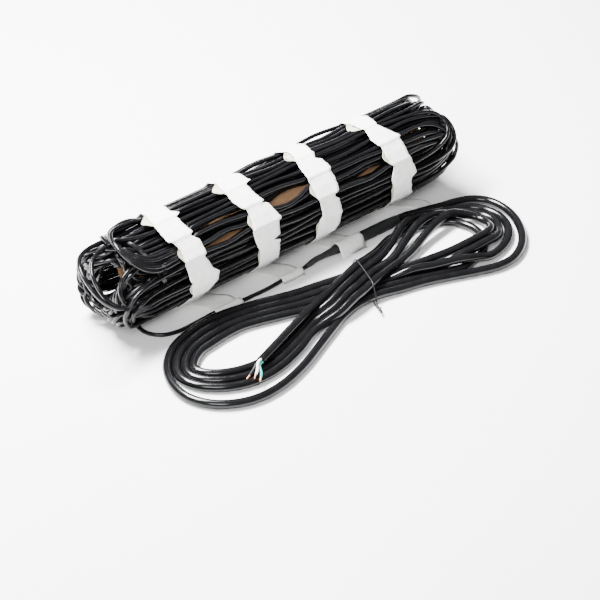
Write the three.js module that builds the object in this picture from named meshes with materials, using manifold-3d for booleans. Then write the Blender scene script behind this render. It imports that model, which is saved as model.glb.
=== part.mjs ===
// Snow melting mat, rolled on a cardboard core, with its cold lead tied in a hank.
// Millimetres, +Z up. The roll's axis lies along X, the cold lead lies towards -Y.
// While building, the roll's axis is above y = 0 and the mat's middle is at x = 0.
import * as THREE from 'three';
import { mergeVertices } from 'three/addons/utils/BufferGeometryUtils.js';
import Module from 'manifold-3d';

const wasm = await Module();
wasm.setup();

// Mat
const MAT_HALF_WIDTH = 305;
const CABLE_D = 6;
const RUN_SPACING = 76.2;
const GAP = 0.3;

// Roll
const TAPE_T = 0.8;
const TURN_STEP = 1.4;
const ROLL_OUTER_R = 71.1;
const AXIS_Z = ROLL_OUTER_R;
const RUN_R = ROLL_OUTER_R - TAPE_T - GAP - CABLE_D / 2;
const CORNERS = [-90, -62, -34, -6, 22, 50, 73, 95, 124, 152, 178, 206, 238, 270];

// Cardboard core
const CORE_OD = 72;
const CORE_WALL = 4;
const CORE_LEFT = -240;
const CORE_RIGHT = 265;

// Runs seen on the outside of the roll, and where their loops reach
const RUN_COUNT = 35;
const RUN_FIRST_ANGLE = -87;
const RUN_PULL = 0.5;
const RUN_DRIFT = 1.1;
const RUN_SETTLE = 0.3;
const OUTER_LAYER = { slots: RUN_COUNT, groups: 9, phase: 0.3 };
const SECOND_LAYER = { slots: 31, groups: 8, phase: 1.1 };
const LAYER_STEP = 9;
const GROOVE_DEPTH = 5.5;
const LOOP_TIP_MIN = MAT_HALF_WIDTH - 9;
const LOOP_TIP_SPREAD = 20;
const LOOSE_TIP_LEFT = 329;
const LOOSE_TIP_RIGHT = 335;
const LOOP_SAG = 9;

// Tape strips: middle of each on the mat, and its tail on the floor
const TAPE_W = 40;
const TAPE_END_ANGLE = 258;
const TAPE_X = [-173, -55, 57, 190];
const TAIL_REACH = 48;
const TAPES = [
  { x: TAPE_X[0], lean: -12, tailShift: 43, tailWidth: 46, tailEnd: -79, over: 'cable' },
  { x: TAPE_X[1], lean: -9, tailShift: 38, tailWidth: 38, tailEnd: -78, over: 'cable' },
  { x: TAPE_X[2], lean: 2, tailShift: 32, tailWidth: 44, tailEnd: -84, over: 'splice' },
  { x: TAPE_X[3], lean: -12, tailShift: 50, tailWidth: 28, tailEnd: -60, over: 'none' },
];

// Splice sleeve between the heating cable and the cold lead
const SPLICE_START = 36;
const SPLICE_WIDE = 88;
const SPLICE_END = 182;
const SPLICE_D = 16.8;
const SPLICE_THIN_D = 8.6;
const SPLICE_Y = -66;
const SPLICE_Z = SPLICE_D / 2;

// Cold lead
const LEAD_D = 12.5;
const FLOOR_Z = LEAD_D / 2 + 0.3;
const OVER_Z = FLOOR_Z + LEAD_D + 0.3;
const LEAD_PITCH = 13.6;
const WAIST_LIFT = 2;
const HANK_SIDES = 8;
const LEAD_STEP = 26;
const FREE_LENGTH = 130;

// Stripped end of the cold lead
const CORE_WIRE_D = 4.2;
const COPPER_D = 2.6;
const WIRE_LENGTH = 27;
const COPPER_LENGTH = 8;

// Twist tie
const TIE_D = 1.7;

// Finishes
const finish = {
  cardboard: new THREE.MeshStandardMaterial({ color: 0xb08a5b, roughness: 0.9, metalness: 0 }),
  cable: new THREE.MeshStandardMaterial({ color: 0x101012, roughness: 0.35, metalness: 0 }),
  tape: new THREE.MeshStandardMaterial({ color: 0xf1f1ee, roughness: 0.85, metalness: 0 }),
  sleeve: new THREE.MeshStandardMaterial({ color: 0x2b2c2e, roughness: 0.7, metalness: 0 }),
  lead: new THREE.MeshStandardMaterial({ color: 0x151517, roughness: 0.4, metalness: 0 }),
  tie: new THREE.MeshStandardMaterial({ color: 0x0d0d0e, roughness: 0.5, metalness: 0 }),
  black: new THREE.MeshStandardMaterial({ color: 0x1a1a1c, roughness: 0.4, metalness: 0 }),
  white: new THREE.MeshStandardMaterial({ color: 0xf0f0ee, roughness: 0.45, metalness: 0 }),
  green: new THREE.MeshStandardMaterial({ color: 0x1f9c86, roughness: 0.45, metalness: 0 }),
  copper: new THREE.MeshStandardMaterial({ color: 0xc9784c, roughness: 0.35, metalness: 1 }),
};

const rad = THREE.MathUtils.degToRad;

// A repeatable number from 0 to 1 for item i of kind k
function scatter(i, k) {
  const s = Math.sin(i * 12.9898 + k * 78.233) * 43758.5453;
  return s - Math.floor(s);
}

function spline(points) {
  return new THREE.CatmullRomCurve3(points.map((p) => new THREE.Vector3(...p)), false, 'centripetal');
}

// A curve whose even steps fall on its own points, so long straight parts need few of them
class Stations extends THREE.CatmullRomCurve3 {
  getPointAt(u, target) {
    return this.getPoint(u, target);
  }

  getTangentAt(u, target) {
    return this.getTangent(u, target);
  }
}

function stations(points) {
  return new Stations(points.map((p) => new THREE.Vector3(...p)), false, 'centripetal');
}

// Round bar of the given diameter along a curve
function bar(curve, diameter, sides, steps) {
  const ring = new THREE.Shape();
  for (let i = 0; i < sides; i += 1) {
    const a = (2 * Math.PI * (i + 0.5)) / sides;
    const x = (diameter / 2) * Math.cos(a);
    const y = (diameter / 2) * Math.sin(a);
    if (i === 0) ring.moveTo(x, y);
    else ring.lineTo(x, y);
  }
  ring.closePath();
  return new THREE.ExtrudeGeometry(ring, { steps, extrudePath: curve, bevelEnabled: false });
}

// Part of a curve between two distances along it, as its own curve
function stretch(curve, from, to, step) {
  const total = curve.getLength();
  const n = Math.max(3, Math.round((to - from) / step) + 1);
  const points = [];
  for (let i = 0; i < n; i += 1) {
    const p = curve.getPointAt(Math.min(1, (from + ((to - from) * i) / (n - 1)) / total));
    points.push([p.x, p.y, p.z]);
  }
  return spline(points);
}

function clean(geometry) {
  const g = geometry.clone();
  g.deleteAttribute('normal');
  g.deleteAttribute('uv');
  return mergeVertices(g, 1e-4);
}

function toSolid(geometry) {
  const g = clean(geometry);
  const mesh = new wasm.Mesh({
    numProp: 3,
    vertProperties: new Float32Array(g.attributes.position.array),
    triVerts: new Uint32Array(g.index.array),
  });
  return new wasm.Manifold(mesh);
}

// The largest body of a joined solid, without any closed pocket inside it
function toGeometry(solid) {
  const bodies = solid.decompose();
  bodies.sort((a, b) => b.volume() - a.volume());
  const mesh = bodies[0].getMesh();
  const g = new THREE.BufferGeometry();
  g.setAttribute('position', new THREE.BufferAttribute(new Float32Array(mesh.vertProperties), 3));
  g.setIndex(new THREE.BufferAttribute(new Uint32Array(mesh.triVerts), 1));
  g.computeVertexNormals();
  return g;
}

// Turned piece about the X axis from a profile of [radius, x] pairs
function turned(profile, segments) {
  const g = new THREE.LatheGeometry(profile.map(([r, x]) => new THREE.Vector2(r, x)), segments);
  g.rotateZ(-Math.PI / 2);
  return g;
}

const group = new THREE.Group();
group.name = 'snow_melting_mat_roll';
const onCord = new Set();

function add(name, geometry, material, isCord = false) {
  const mesh = new THREE.Mesh(geometry, material);
  mesh.name = name;
  group.add(mesh);
  if (isCord) onCord.add(mesh);
}

// Cardboard core
const coreProfile = [
  [CORE_OD / 2 - CORE_WALL, CORE_LEFT],
  [CORE_OD / 2, CORE_LEFT],
  [CORE_OD / 2, CORE_RIGHT],
  [CORE_OD / 2 - CORE_WALL, CORE_RIGHT],
  [CORE_OD / 2 - CORE_WALL, CORE_LEFT],
];
const coreTube = turned(coreProfile, 40);
coreTube.translate(0, 0, AXIS_Z);
add('core_tube', coreTube, finish.cardboard);

// Radius at which a run lies under the outer turn of tape, by its angle
function outerTurn(angle) {
  return (TURN_STEP * (angle + 90)) / 360;
}

// The outer turn is drawn tight into flats between corners: radius of a line this deep under it
function tightRadius(angle, depth) {
  let best = ROLL_OUTER_R - depth;
  for (let i = 0; i + 1 < CORNERS.length; i += 1) {
    const half = (CORNERS[i + 1] - CORNERS[i]) / 2;
    const off = Math.abs(THREE.MathUtils.euclideanModulo(angle - CORNERS[i] - half + 180, 360) - 180);
    if (off < half + 14) {
      best = Math.min(best, (ROLL_OUTER_R * Math.cos(rad(half)) - depth) / Math.cos(rad(off)));
    }
  }
  return best - outerTurn(angle);
}

function rollPoint(x, angle, r) {
  return [x, r * Math.cos(rad(angle)), AXIS_Z + r * Math.sin(rad(angle))];
}

// Angle of a run where it passes x: runs gather in groups that drift along the roll
function layerAngle(layer, base, x) {
  const drift = 1.9 * Math.sin(x / 85 + layer.phase) + 0.35 * Math.sin(x / 61 + 2 * layer.phase);
  const warp = (RUN_PULL / layer.groups) * Math.sin(layer.groups * rad(base) + layer.phase + drift);
  return base + THREE.MathUtils.radToDeg(warp) + RUN_DRIFT * Math.sin(x / 210 + layer.phase);
}

// Inner turns of the mat, as one ring with ridged ends
const WINDING_SIDES = 20;
const windingIn = (CORE_OD / 2 + GAP) / Math.cos(Math.PI / WINDING_SIDES);
const windingOut = RUN_R - LAYER_STEP - 2 * TURN_STEP - GROOVE_DEPTH + 1;
const ridges = 3;
const ridgeW = (windingOut - windingIn) / ridges;
const windingProfile = [];
for (let i = 0; i < ridges; i += 1) {
  const r = windingIn + i * ridgeW;
  const tip = MAT_HALF_WIDTH - 9 + 6 * scatter(i, 5);
  windingProfile.push([r, -tip + 5]);
  windingProfile.push([r + ridgeW / 2, -tip]);
}
windingProfile.push([windingOut, -MAT_HALF_WIDTH + 14]);
windingProfile.push([windingOut, MAT_HALF_WIDTH - 14]);
for (let i = ridges - 1; i >= 0; i -= 1) {
  const r = windingIn + i * ridgeW;
  const tip = MAT_HALF_WIDTH - 9 + 6 * scatter(i, 6);
  windingProfile.push([r + ridgeW / 2, tip]);
  windingProfile.push([r, tip - 5]);
}
windingProfile.push([...windingProfile[0]]);
const winding = turned(windingProfile, WINDING_SIDES);
winding.translate(0, 0, AXIS_Z);
let cable = toSolid(winding);

// Second layer of runs: a sleeve with one rounded rib for each run
function ribSection(x) {
  const step = 360 / SECOND_LAYER.slots;
  const first = RUN_FIRST_ANGLE + 360;
  const ribs = [];
  for (let j = 0; j < SECOND_LAYER.slots; j += 1) {
    const base = first + j * step;
    ribs.push({ a: layerAngle(SECOND_LAYER, base, x), r: RUN_R - LAYER_STEP - outerTurn(base) });
  }
  const section = [];
  ribs.forEach((rib, j) => {
    const half = (angle) => THREE.MathUtils.radToDeg(angle / rib.r);
    const next = ribs[(j + 1) % ribs.length];
    const nextA = next.a + (j + 1 < ribs.length ? 0 : 360);
    for (const [across, up] of [[-2.8, 0], [-1.3, 2.6], [1.3, 2.6], [2.8, 0]]) {
      section.push(rollPoint(x, rib.a + half(across), rib.r + up));
    }
    section.push(rollPoint(x, (rib.a + nextA) / 2, rib.r - GROOVE_DEPTH));
  });
  return section;
}

function ribbedSleeve() {
  const reach = MAT_HALF_WIDTH - 14;
  const sections = [-1, -1 / 3, 1 / 3, 1].map((f) => ribSection(f * reach));
  const count = sections[0].length;
  const positions = sections.flat(2);
  const index = [];
  for (let i = 0; i + 1 < sections.length; i += 1) {
    for (let j = 0; j < count; j += 1) {
      const k = (j + 1) % count;
      const p = i * count;
      const q = p + count;
      index.push(p + j, q + k, q + j, p + j, p + k, q + k);
    }
  }
  const ends = sections.length * count;
  positions.push(-reach, 0, AXIS_Z, reach, 0, AXIS_Z);
  const last = ends - count;
  for (let j = 0; j < count; j += 1) {
    const k = (j + 1) % count;
    index.push(ends, k, j);
    index.push(ends + 1, last + j, last + k);
  }
  const g = new THREE.BufferGeometry();
  g.setAttribute('position', new THREE.BufferAttribute(new Float32Array(positions), 3));
  g.setIndex(index);
  return g;
}

const hollow = turned([
  [0, -MAT_HALF_WIDTH],
  [windingIn + ridgeW, -MAT_HALF_WIDTH],
  [windingIn + ridgeW, MAT_HALF_WIDTH],
  [0, MAT_HALF_WIDTH],
], WINDING_SIDES);
hollow.translate(0, 0, AXIS_Z);
cable = cable.add(toSolid(ribbedSleeve()).subtract(toSolid(hollow)));

// Outer runs: each piece is half a run, its loop, and half of the next run
const slots = RUN_COUNT;
const slotStep = 360 / slots;
const slotsPerRun = Math.round(RUN_SPACING / (((2 * Math.PI * RUN_R) / slots)));
function runBase(k) {
  return RUN_FIRST_ANGLE + ((k * slotsPerRun) % slots) * slotStep;
}
function runRadius(angle) {
  return tightRadius(angle, TAPE_T + GAP + CABLE_D / 2 + RUN_SETTLE);
}
function runAngle(k, x) {
  return k === 0 ? runBase(k) : layerAngle(OUTER_LAYER, runBase(k), x);
}
for (let k = 0; k < RUN_COUNT - 1; k += 1) {
  const side = k % 2 === 0 ? 1 : -1;
  const loose = k === 6 || k === 9;
  const looseTip = side > 0 ? LOOSE_TIP_RIGHT : LOOSE_TIP_LEFT;
  const tip = loose ? looseTip : LOOP_TIP_MIN + LOOP_TIP_SPREAD * scatter(k, 3);
  const start = tip - RUN_SPACING / 2;
  const a0 = runAngle(k, side * start);
  let a1 = runAngle(k + 1, side * start);
  if (a1 < a0) a1 += 360;
  const r0 = runRadius(runBase(k));
  const r1 = runRadius(runBase(k + 1));
  const points = [];
  points.push(rollPoint(-side * 2, runAngle(k, 0), r0));
  points.push(rollPoint(side * start * 0.5, runAngle(k, side * start * 0.5), r0));
  const arc = 5;
  for (let i = 0; i <= arc; i += 1) {
    const t = (Math.PI * i) / arc;
    const f = (1 - Math.cos(t)) / 2;
    const r = r0 + (r1 - r0) * f - LOOP_SAG * Math.sin(t);
    points.push(rollPoint(side * (start + (tip - start) * Math.sin(t)), a0 + (a1 - a0) * f, r));
  }
  points.push(rollPoint(side * start * 0.5, runAngle(k + 1, side * start * 0.5), r1));
  points.push(rollPoint(-side * 2, runAngle(k + 1, 0), r1));
  cable = cable.add(toSolid(bar(stations(points), CABLE_D, 5, points.length - 1)));
}

// Last run: leaves the roll at its lower left, lies along the front, ends in the splice
const lastRun = [
  [-190, 3.5, 5.3],
  [-222, -1, 4.6],
  [-243, -12, 3.7],
  [-252, -29, 3.2],
  [-249, -47, 3.05],
  [-236, -62, 3.05],
  [-215, -69, 3.05],
  [-185, -69, 3.05],
  [-150, -67.5, 3.05],
  [-110, -70, 3.05],
  [-58, -71, 3.05],
  [-25, -68, 3.05],
  [6, -66, 3.05],
  [21, -66, 5.9],
  [31, -66, 8.15],
  [38, -66, SPLICE_Z],
  [55, -66, SPLICE_Z],
  [74, SPLICE_Y, SPLICE_Z],
];
cable = cable.add(toSolid(bar(spline(lastRun), CABLE_D, 8, 36)));
add('heating_cable', toGeometry(cable), finish.cable);

// One strip of tape: its side view as a middle line, with the strip's two edges at each station
function strip(line) {
  const positions = [];
  const index = [];
  line.forEach((s, i) => {
    const a = line[Math.max(0, i - 1)];
    const b = line[Math.min(line.length - 1, i + 1)];
    const dy = b.y - a.y;
    const dz = b.z - a.z;
    const l = Math.hypot(dy, dz);
    const ny = ((-dz / l) * TAPE_T) / 2;
    const nz = ((dy / l) * TAPE_T) / 2;
    positions.push(s.left, s.y - ny, s.z - nz);
    positions.push(s.right, s.y - ny, s.z - nz);
    positions.push(s.right, s.y + ny, s.z + nz);
    positions.push(s.left, s.y + ny, s.z + nz);
    if (i > 0) {
      const p = 4 * (i - 1);
      const q = 4 * i;
      for (let j = 0; j < 4; j += 1) {
        const k = (j + 1) % 4;
        index.push(p + j, q + j, q + k, p + j, q + k, p + k);
      }
    }
  });
  const e = 4 * (line.length - 1);
  index.push(0, 1, 2, 0, 2, 3);
  index.push(e, e + 2, e + 1, e, e + 3, e + 2);
  const g = new THREE.BufferGeometry();
  g.setAttribute('position', new THREE.BufferAttribute(new Float32Array(positions), 3));
  g.setIndex(index);
  g.computeVertexNormals();
  return g;
}

// Height of a tail's middle line where it passes over a round thing on the floor
function humpLine(centreY, centreZ, r) {
  const clear = r + GAP + TAPE_T / 2 + 0.05;
  const foot = clear * 1.62;
  const line = [[centreY - foot, TAPE_T / 2]];
  for (const a of [150, 120, 90, 60, 30]) {
    line.push([centreY + clear * Math.cos(rad(a)), centreZ + clear * Math.sin(rad(a))]);
  }
  line.push([centreY + foot, TAPE_T / 2]);
  return line;
}

TAPES.forEach((tape, n) => {
  const tail = [[tape.tailEnd, TAPE_T / 2]];
  if (tape.over === 'cable') tail.push(...humpLine(n === 0 ? -68.6 : -67.6, CABLE_D / 2, CABLE_D / 2 + 0.9));
  if (tape.over === 'splice') tail.push(...humpLine(SPLICE_Y, SPLICE_Z, SPLICE_D / 2));
  if (tape.over !== 'splice') tail.push([-50, TAPE_T / 2]);
  tail.push([-26, TAPE_T / 2], [-6, TAPE_T / 2]);
  const outline = tail.map(([y, z]) => {
    const f = Math.min(1, Math.max(0, -y / TAIL_REACH));
    const mid = tape.x + tape.tailShift * f;
    const w = TAPE_W + (tape.tailWidth - TAPE_W) * f;
    return { y, z, left: mid - w / 2, right: mid + w / 2 };
  });
  const turnSteps = 48;
  for (let i = 0; i <= turnSteps; i += 1) {
    const angle = -90 + ((TAPE_END_ANGLE + 90) * i) / turnSteps;
    const r = tightRadius(angle, TAPE_T / 2);
    const [, y, z] = rollPoint(0, angle, r);
    const mid = tape.x + tape.lean * Math.max(0, Math.sin(rad(angle)));
    outline.push({ y, z, left: mid - TAPE_W / 2, right: mid + TAPE_W / 2 });
  }
  add(`tape_strip_${n + 1}`, strip(outline), finish.tape);
});

// Splice sleeve with a blind hole at each end
const thinR = SPLICE_THIN_D / 2;
const wideR = SPLICE_D / 2;
const cableHole = CABLE_D / 2 + GAP;
const leadHole = LEAD_D / 2 + GAP;
const sleeve = turned([
  [0, SPLICE_START + 44],
  [cableHole, SPLICE_START + 44],
  [cableHole, SPLICE_START],
  [thinR, SPLICE_START],
  [thinR + 0.3, SPLICE_START + 20],
  [wideR - 0.9, SPLICE_WIDE - 8],
  [wideR, SPLICE_WIDE],
  [wideR, SPLICE_END - 22],
  [wideR - 0.5, SPLICE_END - 6],
  [leadHole + 0.6, SPLICE_END],
  [leadHole, SPLICE_END],
  [leadHole, SPLICE_END - 36],
  [0, SPLICE_END - 36],
], 28);
sleeve.translate(0, SPLICE_Y, SPLICE_Z);
add('splice_sleeve', sleeve, finish.sleeve);

// Cold lead: from the splice around the outside of the right lobe
const rightOuter = [
  [SPLICE_END - 34, SPLICE_Y, SPLICE_Z],
  [SPLICE_END - 10, SPLICE_Y, SPLICE_Z],
  [SPLICE_END + 6, SPLICE_Y, SPLICE_Z],
  [204, -67.5, 7.4],
  [226, -72, FLOOR_Z],
  [252, -79, FLOOR_Z],
  [278, -84.5, FLOOR_Z],
  [301, -94, FLOOR_Z],
  [317, -111, FLOOR_Z],
  [323, -134, FLOOR_Z],
  [321, -160, FLOOR_Z],
  [312, -184, FLOOR_Z],
  [296, -208, FLOOR_Z],
  [274, -227, FLOOR_Z],
  [248, -238, FLOOR_Z],
  [220, -238, FLOOR_Z],
  [188, -228, FLOOR_Z],
  [155, -215, FLOOR_Z],
  [118, -201, FLOOR_Z],
  [78, -191, FLOOR_Z],
  [44, -183.5, FLOOR_Z + WAIST_LIFT],
  [12, -182, FLOOR_Z + WAIST_LIFT],
  [-18, -187, FLOOR_Z],
  [-50, -200, FLOOR_Z],
];

// The other right turns, each from the waist's front to its back
const rightTurns = {
  inner: [
    [110, -156, FLOOR_Z],
    [132, -163, 8],
    [157, -169, 10],
    [190, -176, 13],
    [224, -181, 18],
    [251, -181, OVER_Z],
    [268, -171, 15],
    [276, -153, 9],
    [274, -135, 9],
    [262, -122, 13],
    [241, -114, OVER_Z],
    [214, -117, OVER_Z],
    [184, -125, 15],
    [150, -137, 10],
    [118, -147, 11],
    [88, -156, 16.5],
  ],
  middle: [
    [110, -170, FLOOR_Z],
    [132, -178, FLOOR_Z],
    [157, -187, 7],
    [195, -194, 15],
    [232, -197, OVER_Z],
    [262, -191, 14],
    [281, -174, 8],
    [290, -152, FLOOR_Z],
    [286, -130, FLOOR_Z],
    [272, -113, FLOOR_Z],
    [248, -104, 10],
    [218, -99, 18],
    [188, -104, OVER_Z],
    [155, -116, 14.5],
    [122, -131, 10],
    [90, -144, 16],
  ],
  outer: [
    [110, -178, 17],
    [143, -191, 17.5],
    [175, -203, OVER_Z],
    [200, -211, 16],
    [226, -214, 8],
    [254, -209, FLOOR_Z],
    [279, -196, FLOOR_Z],
    [298, -174, FLOOR_Z],
    [304, -150, FLOOR_Z],
    [299, -126, FLOOR_Z],
    [285, -107, FLOOR_Z],
    [259, -95.5, FLOOR_Z],
    [228, -87.5, 9.5],
    [196, -86, 16],
    [165, -94, OVER_Z],
    [130, -111, 15.5],
    [97, -127, 17],
  ],
  under: [
    [112, -188, FLOOR_Z],
    [150, -201.5, FLOOR_Z],
    [178, -209.5, FLOOR_Z],
    [202, -207, FLOOR_Z],
    [224, -200, FLOOR_Z],
    [241, -187, FLOOR_Z],
    [252, -168, FLOOR_Z],
    [254, -145, FLOOR_Z],
    [244, -121, FLOOR_Z],
    [226, -106, FLOOR_Z],
    [200, -96, FLOOR_Z],
    [170, -92, FLOOR_Z],
    [140, -94.5, FLOOR_Z],
    [110, -105, 7.5],
    [84, -116, 14.5],
  ],
};

// Left lobe: guides for its outermost and innermost turn, from front to back
const leftOut = [
  [-85, -216],
  [-130, -236],
  [-175, -249],
  [-215, -251],
  [-248, -241],
  [-275, -220],
  [-290, -190],
  [-289, -157],
  [-274, -124],
  [-245, -98],
  [-210, -85],
  [-168, -80],
  [-122, -86],
  [-65, -101],
];
const leftIn = [
  [-60, -163],
  [-98, -179],
  [-138, -192],
  [-171, -195],
  [-200, -191],
  [-226, -180],
  [-243, -165],
  [-248, -150],
  [-239, -138],
  [-219, -126],
  [-197, -122],
  [-172, -119],
  [-143, -119],
  [-88, -134],
];
const frontShare = [0, 0.53, 0.76, 1];
const backShare = [0, 1 / 3, 2 / 3, 1];
function leftTurn(n) {
  return leftOut.map((p, i) => {
    const f = THREE.MathUtils.smoothstep(i, 5, 8);
    const share = frontShare[n] + (backShare[n] - frontShare[n]) * f;
    const q = leftIn[i];
    return [p[0] + (q[0] - p[0]) * share, p[1] + (q[1] - p[1]) * share, FLOOR_Z];
  });
}

// Through the waist: strands from the left lobe's back go under to the right lobe's front
function underWaist(n) {
  return [
    [-38 - 4 * n, -108 - 12.5 * n, FLOOR_Z],
    [0, -116 - LEAD_PITCH * n, FLOOR_Z + 0.6 * WAIST_LIFT],
    [42, -126 - LEAD_PITCH * n, FLOOR_Z + WAIST_LIFT],
    [76, -137.5 - LEAD_PITCH * n, FLOOR_Z],
  ];
}

// and strands from the right lobe's back go over to the left lobe's front
function overWaist(n) {
  const top = OVER_Z + WAIST_LIFT;
  return [
    [60, -125 - LEAD_PITCH * n, top],
    [28, -134.5 - LEAD_PITCH * n, top],
    [0, -143 - 0.95 * LEAD_PITCH * n, top - 0.6],
    [-27, -150 - 0.9 * LEAD_PITCH * n, top - 3 - (n > 0 ? 3 : 0)],
  ];
}

// End of the lead, on top of the left lobe's front strands
const leadEnd = [
  [-63, -162, OVER_Z],
  [-102, -176, OVER_Z],
  [-141, -191, OVER_Z],
  [-178, -204.5, OVER_Z - 0.3],
];

// Order in which the lead runs: right, left, right ... until its end
const turns = [
  rightOuter.concat(leftTurn(0)),
  leftTurn(0).slice(-2).concat(underWaist(0), rightTurns.inner, overWaist(3), leftTurn(1)),
  leftTurn(1).slice(-2).concat(underWaist(1), rightTurns.middle, overWaist(2), leftTurn(2)),
  leftTurn(2).slice(-2).concat(underWaist(2), rightTurns.outer, overWaist(1), leftTurn(3)),
  leftTurn(3).slice(-2).concat(underWaist(3), rightTurns.under, overWaist(0), leadEnd),
];

// The whole lead as one curve
const leadRoute = turns.flatMap((t, i) => (i === 0 ? t : t.slice(2)));
const leadCurve = spline(leadRoute);
leadCurve.arcLengthDivisions = 4000;
export const leadLength = leadCurve.getLength();

const freeCurve = stretch(leadCurve, 0, FREE_LENGTH, LEAD_STEP / 2);
add('cold_lead_tube', bar(freeCurve, LEAD_D, 10, 12), finish.lead, true);

// The hank, joined from stretches that overlap end to end
let hank = null;
const pieces = 16;
const hankFrom = FREE_LENGTH + 4 * GAP;
const pieceLength = (leadLength - hankFrom) / pieces;
for (let i = 0; i < pieces; i += 1) {
  const from = hankFrom + i * pieceLength;
  const to = Math.min(leadLength, from + pieceLength + (i + 1 < pieces ? 1 : 0));
  const piece = toSolid(bar(stretch(leadCurve, from, to, LEAD_STEP / 2), LEAD_D, HANK_SIDES,
    Math.round((to - from) / LEAD_STEP)));
  hank = hank === null ? piece : hank.add(piece);
}
add('cold_lead_hank', toGeometry(hank), finish.lead, true);

// Twist tie round the waist, its two ends twisted together at the front
const tieLine = [
  [26, -214, 4.6],
  [27, -206, 5.6],
  [30, -198, 4.4],
  [33, -190.5, 1.4],
  [38, -180, 1.2],
  [47, -152, 1.2],
  [55, -126, 1.2],
  [59, -114, 3],
  [60, -110, 9],
  [59, -113, 17],
  [57, -119, 25.5],
  [54, -127, 29.8],
  [49, -145, 30],
  [43, -165, 29.8],
  [38, -180, 28.5],
  [35, -187, 22],
  [33, -192, 15],
  [31, -197, 8.5],
  [29, -203, 7.6],
  [25, -209, 8],
];
add('bundle_tie', bar(spline(tieLine), TIE_D, 6, 60), finish.tie, true);

// Stripped conductors with bare copper ends
const endFrom = leadCurve.getPointAt(1);
const endDir = leadCurve.getTangentAt(1);
const endSide = new THREE.Vector3(-endDir.y, endDir.x, 0).normalize();
const conductors = [
  { name: 'black', side: -2.6, up: -1.5, tip: [-34, -13, -4.5] },
  { name: 'white', side: 0, up: 3, tip: [-27, -20, -3.5] },
  { name: 'green', side: 2.6, up: -1.5, tip: [-22, -26, -4.5] },
];
for (const c of conductors) {
  const root = endFrom.clone()
    .addScaledVector(endDir, GAP + 0.1)
    .addScaledVector(endSide, c.side)
    .add(new THREE.Vector3(0, 0, c.up));
  const tip = endFrom.clone().add(new THREE.Vector3(...c.tip));
  const reach = tip.clone().sub(root);
  const straight = root.clone().addScaledVector(endDir, 8);
  const line = new THREE.CatmullRomCurve3([root, straight, root.clone().addScaledVector(reach, 0.6), tip]);
  const total = line.getLength();
  const jacket = (total * (WIRE_LENGTH - 0)) / (WIRE_LENGTH + COPPER_LENGTH);
  add(`conductor_${c.name}`, bar(stretch(line, 0, jacket, 3), CORE_WIRE_D, 8, 8), finish[c.name], true);
  add(`copper_end_${c.name}`, bar(stretch(line, jacket + GAP, total, 3), COPPER_D, 8, 3), finish.copper, true);
}

// Put the origin at the bottom centre of everything but the cold lead
const box = new THREE.Box3();
for (const mesh of group.children) {
  if (!onCord.has(mesh)) box.expandByObject(mesh);
}
const shift = new THREE.Vector3(-(box.min.x + box.max.x) / 2, -(box.min.y + box.max.y) / 2, -box.min.z);
for (const mesh of group.children) mesh.geometry.translate(shift.x, shift.y, shift.z);

export default group;
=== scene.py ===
"""Rolled snow melting mat with its cold lead in a tied hank, dressed for a studio picture.

Sizes are millimetres in the roll's own frame: X along the roll's axis from the mat's middle, Y away from
the camera from the roll's axis, Z up from the floor. RollFrame turns them into metres in the row frame.
"""

import logging
import math
from dataclasses import dataclass, field
from enum import Enum, IntEnum
from typing import Callable, Iterable, Sequence

import bpy
import numpy as np
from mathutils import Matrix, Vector, kdtree


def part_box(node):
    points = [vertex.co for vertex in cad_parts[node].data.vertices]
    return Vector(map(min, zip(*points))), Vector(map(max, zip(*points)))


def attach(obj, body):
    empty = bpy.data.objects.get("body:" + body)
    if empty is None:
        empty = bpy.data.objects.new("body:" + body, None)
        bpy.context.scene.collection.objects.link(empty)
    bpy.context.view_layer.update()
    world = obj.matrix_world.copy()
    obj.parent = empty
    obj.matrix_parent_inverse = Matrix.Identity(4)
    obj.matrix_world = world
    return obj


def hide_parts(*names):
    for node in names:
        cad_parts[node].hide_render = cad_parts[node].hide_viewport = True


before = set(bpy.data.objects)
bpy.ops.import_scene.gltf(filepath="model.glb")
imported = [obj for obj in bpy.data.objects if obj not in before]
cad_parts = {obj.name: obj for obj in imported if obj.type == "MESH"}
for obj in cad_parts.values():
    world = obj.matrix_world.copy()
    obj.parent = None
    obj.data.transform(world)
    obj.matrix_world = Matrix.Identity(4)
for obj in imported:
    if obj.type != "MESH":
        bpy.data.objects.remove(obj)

log = logging.getLogger("snow_melting_mat")

Point = tuple[float, float, float]

SPAN_SAMPLES = 24  # samples between two points of a curve
NOISE_LOW, NOISE_HIGH = 0.3, 0.7  # most noise values lie between these
FLOOR_CLEAR = 0.05  # least height of a ribbon's corner
OPENING_TOP_R, OPENING_DEPTH = 70.0, 34.0  # an opening goes from the outer layer down to the core


class Slot(Enum):
    """Material slots of the record."""

    CARD = "core_card"
    CABLE = "cable_jacket"
    TAPE = "tape_fabric"
    SLEEVE = "sleeve_shrink"
    LEAD = "lead_jacket"
    TIE = "tie_black"
    WIRE_BLACK = "wire_black"
    WIRE_WHITE = "wire_white"
    WIRE_GREEN = "wire_green"
    COPPER = "copper_bare"


class Draw(IntEnum):
    """Kinds of repeatable chance, so that no two uses share their numbers."""

    REACH = 3
    DEPTH = 7
    SAG = 8
    LEFT_EDGE = 11
    RIGHT_EDGE = 21
    INNER_EDGE = 31


def scatter(i: float, k: float) -> float:
    """A repeatable number from 0 to 1 for item i of kind k."""
    s = math.sin(i * 12.9898 + k * 78.233) * 43758.5453
    return s - math.floor(s)


def smoothstep(x: float, low: float, high: float) -> float:
    """0 below low, 1 above high and smooth between them."""
    t = min(1.0, max(0.0, (x - low) / (high - low)))
    return t * t * (3 - 2 * t)


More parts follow.
